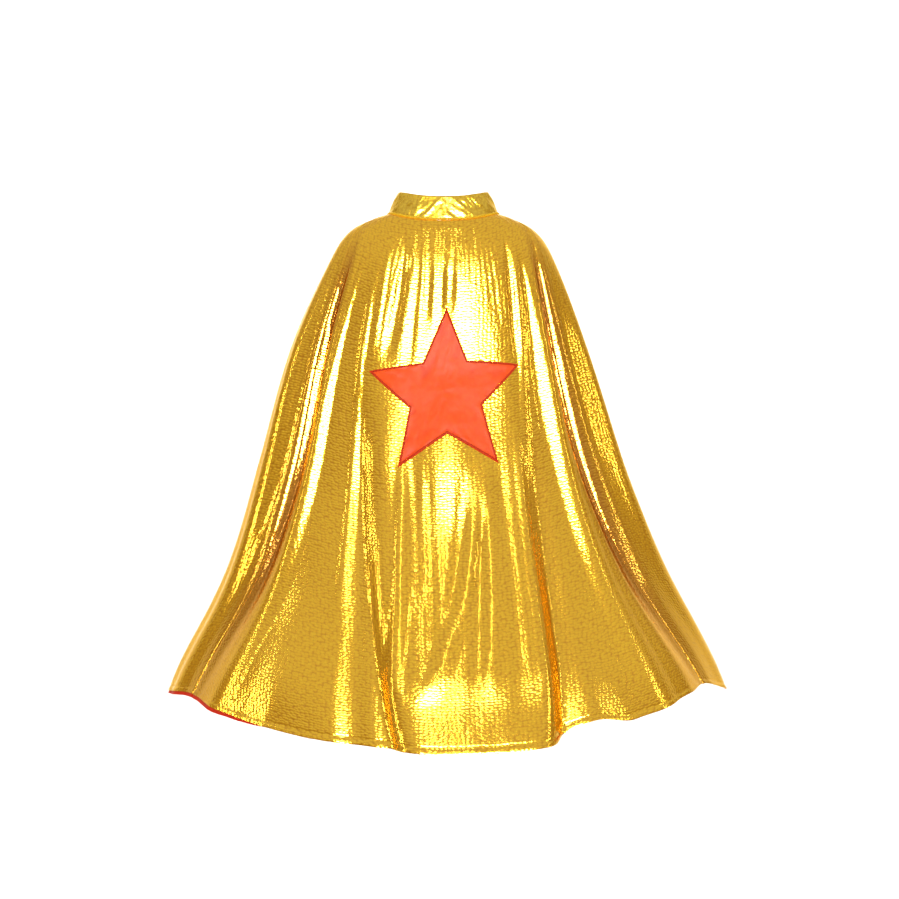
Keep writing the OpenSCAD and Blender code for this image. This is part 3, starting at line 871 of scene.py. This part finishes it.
def add(tree, kind, **settings):
    """A new node; each setting is an input's value where an input has that name."""
    node = tree.nodes.new(kind)
    for key, value in settings.items():
        socket = key.replace("_", " ")
        if socket in node.inputs:
            node.inputs[socket].default_value = value
        else:
            setattr(node, key, value)
    return node


def uv_source(tree):
    return add(tree, "ShaderNodeUVMap", uv_map="cloth").outputs["UV"]


def bump_node(tree, height, strength, distance, before=None):
    """The normal of a bump, on top of the bump before it."""
    node = add(tree, "ShaderNodeBump", Strength=strength, Distance=distance)
    tree.links.new(height, node.inputs["Height"])
    if before is not None:
        tree.links.new(before, node.inputs["Normal"])
    return node.outputs["Normal"]


def noise(tree, vector, scale, detail):
    node = add(tree, "ShaderNodeTexNoise", Scale=scale, Detail=detail, Roughness=0.5)
    tree.links.new(vector, node.inputs["Vector"])
    return node.outputs["Fac"]


def ramp(tree, fac, stops):
    """Colours that change with fac, from one place and colour in stops to the next."""
    node = add(tree, "ShaderNodeValToRGB")
    while len(node.color_ramp.elements) < len(stops):
        node.color_ramp.elements.new(0.5)
    for element, (place, colour) in zip(node.color_ramp.elements, stops):
        element.position = place
        element.color = (*colour, 1)
    tree.links.new(fac, node.inputs["Fac"])
    return node.outputs["Color"]


# Inputs and output of a colour mix
MIX_SHARE = 0
MIX_FROM = 6
MIX_TO = 7
MIX_OUT = 2


def with_painted_shade(tree, colour, deep_shade):
    """The colour, turned towards a darker painted-shade colour as far as the mesh's attribute says
    the cloth lies in a hollow.
    """
    shade_mask = add(tree, "ShaderNodeAttribute", attribute_name="painted_shade")
    shade = add(tree, "ShaderNodeMix", data_type="RGBA")
    shade.inputs[MIX_TO].default_value = (*deep_shade, 1)
    tree.links.new(shade_mask.outputs["Fac"], shade.inputs[MIX_SHARE])
    tree.links.new(colour, shade.inputs[MIX_FROM])
    return shade.outputs[MIX_OUT]


SCALE_W = 0.0052                    # the embossed scales, in metres
SCALE_H = 0.0033
SCALE_DEPTH = 0.00045
RIM_SHADE = (0.66, 0.50, 0.20)      # painted shade at the scales' rims, as a share of the gold
# painted shade: the darker orange that fold valleys turn to, standing for gold mirroring gold
PAINTED_SHADE_GOLD = (0.50, 0.17, 0.004)
GOLD_EDGE = (1.0, 0.8, 0.25)        # the gold's tint where it is seen edge on
COAT = 0.36                         # the film over the foil
COAT_IOR = 1.9
COAT_ROUGHNESS = 0.12


def embossed(tree, uv):
    """How far a place is from the middle of its scale, in scales."""
    scales = add(tree, "ShaderNodeMapping", Scale=(1 / SCALE_W, 1 / SCALE_H, 1))
    tree.links.new(uv, scales.inputs["Vector"])
    cells = add(tree, "ShaderNodeTexVoronoi", voronoi_dimensions="2D", Scale=1, Randomness=0.6)
    tree.links.new(scales.outputs["Vector"], cells.inputs["Vector"])
    return cells.outputs["Distance"]


def foil_colour(tree, uv, from_middle, base, dark, pattern):
    """Mottled gold, with painted shade at the scales' rims and in the folds' hollows."""
    tone = ramp(tree, noise(tree, uv, 240, 3), [(0.3, dark), (0.62, base)])
    rims = ramp(tree, from_middle, [(0.35, (1, 1, 1)), (0.75, RIM_SHADE)])
    rim_shaded = add(tree, "ShaderNodeMix", data_type="RGBA", blend_type="MULTIPLY")
    rim_shaded.inputs[MIX_SHARE].default_value = pattern
    tree.links.new(tone, rim_shaded.inputs[MIX_FROM])
    tree.links.new(rims, rim_shaded.inputs[MIX_TO])
    return with_painted_shade(tree, rim_shaded.outputs[MIX_OUT], PAINTED_SHADE_GOLD)


def lame(name, base, dark, pattern, roughness):
    """Metallic foil cloth; pattern is how deep the embossed scales are."""
    m, tree, shader = material(name, base, 1.0, roughness, Specular_Tint=(*GOLD_EDGE, 1),
                               Coat_Weight=COAT, Coat_IOR=COAT_IOR,
                               Coat_Roughness=COAT_ROUGHNESS)
    uv = uv_source(tree)
    from_middle = embossed(tree, uv)
    normal = bump_node(tree, from_middle, pattern, -SCALE_DEPTH)
    normal = bump_node(tree, noise(tree, uv, 420, 2), 0.25 * pattern, 0.0006, normal)
    normal = bump_node(tree, noise(tree, uv, 60, 2), 0.2, 0.0012, normal)
    tree.links.new(normal, shader.inputs["Normal"])
    tree.links.new(normal, shader.inputs["Coat Normal"])
    colour = foil_colour(tree, uv, from_middle, base, dark, pattern)
    tree.links.new(colour, shader.inputs["Base Color"])
    rough = add(tree, "ShaderNodeMapRange", To_Min=0.8 * roughness, To_Max=1.3 * roughness)
    tree.links.new(noise(tree, uv, 500, 2), rough.inputs["Value"])
    tree.links.new(rough.outputs["Result"], shader.inputs["Roughness"])
    return m


def satin(name, base, dark, deep_shade, roughness, gloss):
    """Shiny red cloth, woven on the slant; the third colour is painted shade, used where the mesh
    marks a hollow.
    """
    m, tree, shader = material(name, base, 0.0, roughness, Anisotropic=0.5,
                               Specular_IOR_Level=gloss, Sheen_Weight=0.05,
                               Sheen_Roughness=0.4, Sheen_Tint=(1.0, 0.35, 0.2, 1))
    uv = uv_source(tree)
    weave = add(tree, "ShaderNodeTexWave", wave_type="BANDS", bands_direction="DIAGONAL",
                Scale=900, Distortion=1.5)
    tree.links.new(uv, weave.inputs["Vector"])
    slub = noise(tree, uv, 130, 3)
    normal = bump_node(tree, weave.outputs["Fac"], 0.2, 0.0001)
    normal = bump_node(tree, slub, 0.3, 0.0008, normal)
    tree.links.new(normal, shader.inputs["Normal"])
    colour = ramp(tree, slub, [(0.3, dark), (0.7, base)])
    tree.links.new(with_painted_shade(tree, colour, deep_shade), shader.inputs["Base Color"])
    return m


def plain_cloth(name, base, dark, scale, roughness=0.85, bumps=0.5):
    """Matt cloth or thread, mottled and bumpy at the scale given."""
    m, tree, shader = material(name, base, 0.0, roughness, Specular_IOR_Level=0.1)
    fac = noise(tree, uv_source(tree), scale, 4)
    tree.links.new(ramp(tree, fac, [(0.3, dark), (0.7, base)]), shader.inputs["Base Color"])
    tree.links.new(bump_node(tree, fac, bumps, 0.0004), shader.inputs["Normal"])
    return m


mat_lame = lame("gold_lame", (0.95, 0.56, 0.014), (0.86, 0.45, 0.008), 0.65, 0.13)
mat_smooth = lame("gold_smooth", (0.86, 0.56, 0.030), (0.68, 0.40, 0.015), 0.30, 0.17)
# The third colour of each satin is painted shade; of the satin pieces only the star carries marks
# for it.
mat_lining = satin("red_satin", (0.72, 0.036, 0.010), (0.55, 0.024, 0.008),
                   (0.30, 0.010, 0.004), 0.42, gloss=0.06)
mat_star = satin("star_satin", (1.0, 0.115, 0.018), (0.95, 0.090, 0.014),
                 (0.70, 0.012, 0.003), 0.40, gloss=0.08)
mat_thread = plain_cloth("stitch_thread", (0.78, 0.060, 0.012), (0.52, 0.036, 0.008), 1500, 0.7)
mat_piping = plain_cloth("piping_cord", (0.84, 0.55, 0.020), (0.66, 0.38, 0.012), 900, 0.5, 0.6)
mat_stiff = plain_cloth("interfacing", (0.85, 0.84, 0.80), (0.74, 0.73, 0.69), 400)
mat_tape = plain_cloth("fastener_tape", (0.82, 0.80, 0.74), (0.60, 0.58, 0.53), 1300, 0.9, 1.0)
mat_label = plain_cloth("label_tape", (0.90, 0.89, 0.86), (0.80, 0.79, 0.76), 900, 0.6, 0.3)


def finish(obj, mat, node):
    """Gives a piece its material and hides the CAD node it stands for."""
    obj.data.materials.append(mat)
    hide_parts(node)


# ---- camera, light and floor; lengths are in metres and angles in degrees ----
SENSOR = 36             # millimetres, as is the lens
LENS = 61.67
CAMERA_AT = (0.0078, -2.0, -0.343)
CAMERA_SHIFT = 0.0339
CAPE_MIDDLE = (0, 0, -0.35)
CAPE_LOWER_BACK = (0, -0.20, -0.45)


def add_camera():
    data = bpy.data.cameras.new("camera")
    data.sensor_width = SENSOR
    data.lens = LENS
    data.shift_y = CAMERA_SHIFT
    cam = bpy.data.objects.new("camera", data)
    bpy.context.collection.objects.link(cam)
    cam.location = CAMERA_AT
    cam.rotation_euler = (np.pi / 2, 0, 0)
    bpy.context.scene.camera = cam


def add_softbox(name, azimuth, elevation, distance, size, power, aim=CAPE_MIDDLE, diffuse=True):
    """An area light facing aim; azimuth 0 is the camera's side of it."""
    data = bpy.data.lights.new(name, "AREA")
    data.shape = "RECTANGLE"
    data.size, data.size_y = size
    data.energy = power
    light = bpy.data.objects.new(name, data)
    bpy.context.collection.objects.link(light)
    az, el = np.radians(azimuth), np.radians(elevation)
    away = Vector((np.sin(az) * np.cos(el), -np.cos(az) * np.cos(el), np.sin(el)))
    light.location = Vector(aim) + away * distance
    light.rotation_euler = (-away).to_track_quat("-Z", "Y").to_euler()
    light.visible_diffuse = diffuse


SWEEP_HALF_W = 5
SWEEP_FRONT = -4.0
SWEEP_FLOOR = -1.3
SWEEP_WALL = 2.4
SWEEP_TOP = 3.0
SWEEP_RADIUS = 0.8


def add_sweep():
    """A white sweep: the floor curves up behind the cape into a wall."""
    curve = [(SWEEP_WALL - SWEEP_RADIUS + SWEEP_RADIUS * np.sin(v),
              SWEEP_FLOOR + SWEEP_RADIUS - SWEEP_RADIUS * np.cos(v))
             for v in np.linspace(0, np.pi / 2, 13)]
    profile = [(SWEEP_FRONT, SWEEP_FLOOR), (0.0, SWEEP_FLOOR), *curve, (SWEEP_WALL, SWEEP_TOP)]
    points = [(x / MM, y / MM, z / MM) for y, z in profile for x in (-SWEEP_HALF_W, SWEEP_HALF_W)]
    faces = [(2 * i, 2 * i + 1, 2 * i + 3, 2 * i + 2) for i in range(len(profile) - 1)]
    floor = mesh_object("floor", points, faces)
    paper = material("floor_paper", (0.95, 0.95, 0.95), 0.0, 0.9)[0]
    floor.data.materials.append(paper)


FLOOR = (0.45, 0.43, 0.40)
EYE_LEVEL = (0.47, 0.375, 0.20)     # a dim, warm room, which gives the gold its amber tones
CEILING = (0.74, 0.72, 0.68)


def add_room():
    """What the cloth mirrors past the lights."""
    world = bpy.data.worlds.new("studio")
    bpy.context.scene.world = world
    world.use_nodes = True
    tree = world.node_tree
    where = add(tree, "ShaderNodeTexCoord")
    height = add(tree, "ShaderNodeSeparateXYZ")
    tree.links.new(where.outputs["Generated"], height.inputs["Vector"])
    sky = ramp(tree, height.outputs["Z"],
               [(0.0, FLOOR), (0.05, EYE_LEVEL), (0.40, EYE_LEVEL), (0.64, CEILING)])
    tree.links.new(sky, tree.nodes["Background"].inputs["Color"])
    tree.nodes["Background"].inputs["Strength"].default_value = 1.0


add_camera()
add_softbox("key_gloss", 3, 27, 4.0, (2.9, 0.95), 360, diffuse=False)
add_softbox("key_soft", 0, 34, 2.6, (1.7, 0.6), 26)
add_softbox("left_strip", -80, 13, 2.4, (0.08, 1.3), 5)
add_softbox("right_strip", 80, 13, 2.4, (0.08, 1.3), 5)
add_softbox("top_strip", 0, 58, 1.6, (0.05, 0.5), 1.0, CAPE_LOWER_BACK, diffuse=False)
for x in (-0.8, 0.8):
    add_softbox("wall_light", 0, 40, 1.8, (1.5, 0.6), 22, aim=(x, 2.3, -0.3))
add_sweep()
add_room()
bpy.context.scene.view_settings.view_transform = "Standard"

# ---- build ----
shells = {side: make_panel(side) for side in PANELS}
collars = {side: make_collar(side) for side in PANELS}
pipings = {side: make_piping(side) for side in PANELS}
for side, (shell, lining) in shells.items():
    finish(shell, mat_lame, NODE_OF[side])
    finish(lining, mat_lining, LINING_OF[side])
for side, (shell, lining, stiff) in collars.items():
    finish(shell, mat_smooth, f"collar_{side}")
    finish(lining, mat_lining, f"collar_{side}_lining")
    finish(stiff, mat_stiff, f"collar_{side}_interfacing")
for side, piping in pipings.items():
    finish(piping, mat_piping, f"neck_piping_{side}")
star, stitching, backing = make_star()
finish(star, mat_star, "star_applique")
finish(stitching, mat_thread, "star_satin_stitch")
finish(backing, mat_stiff, "star_stabiliser")
tab, facing, hook, loop = make_closure()
finish(tab, mat_smooth, "closure_tab")
finish(facing, mat_lining, "closure_tab_facing")
finish(hook, mat_tape, "hook_tape")
finish(loop, mat_tape, "loop_tape")
label = make_label()
finish(label, mat_label, "care_label")


for side in ("left", "right"):
    for piece in (*shells[side], *collars[side], pipings[side]):
        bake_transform(piece)
for piece in (*shells["back"], *collars["back"], pipings["back"], star, stitching, backing, label):
    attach(piece, "root")
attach(loop, "front_right")
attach(hook, "neck_tab")
for piece in (tab, facing):
    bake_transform(piece)
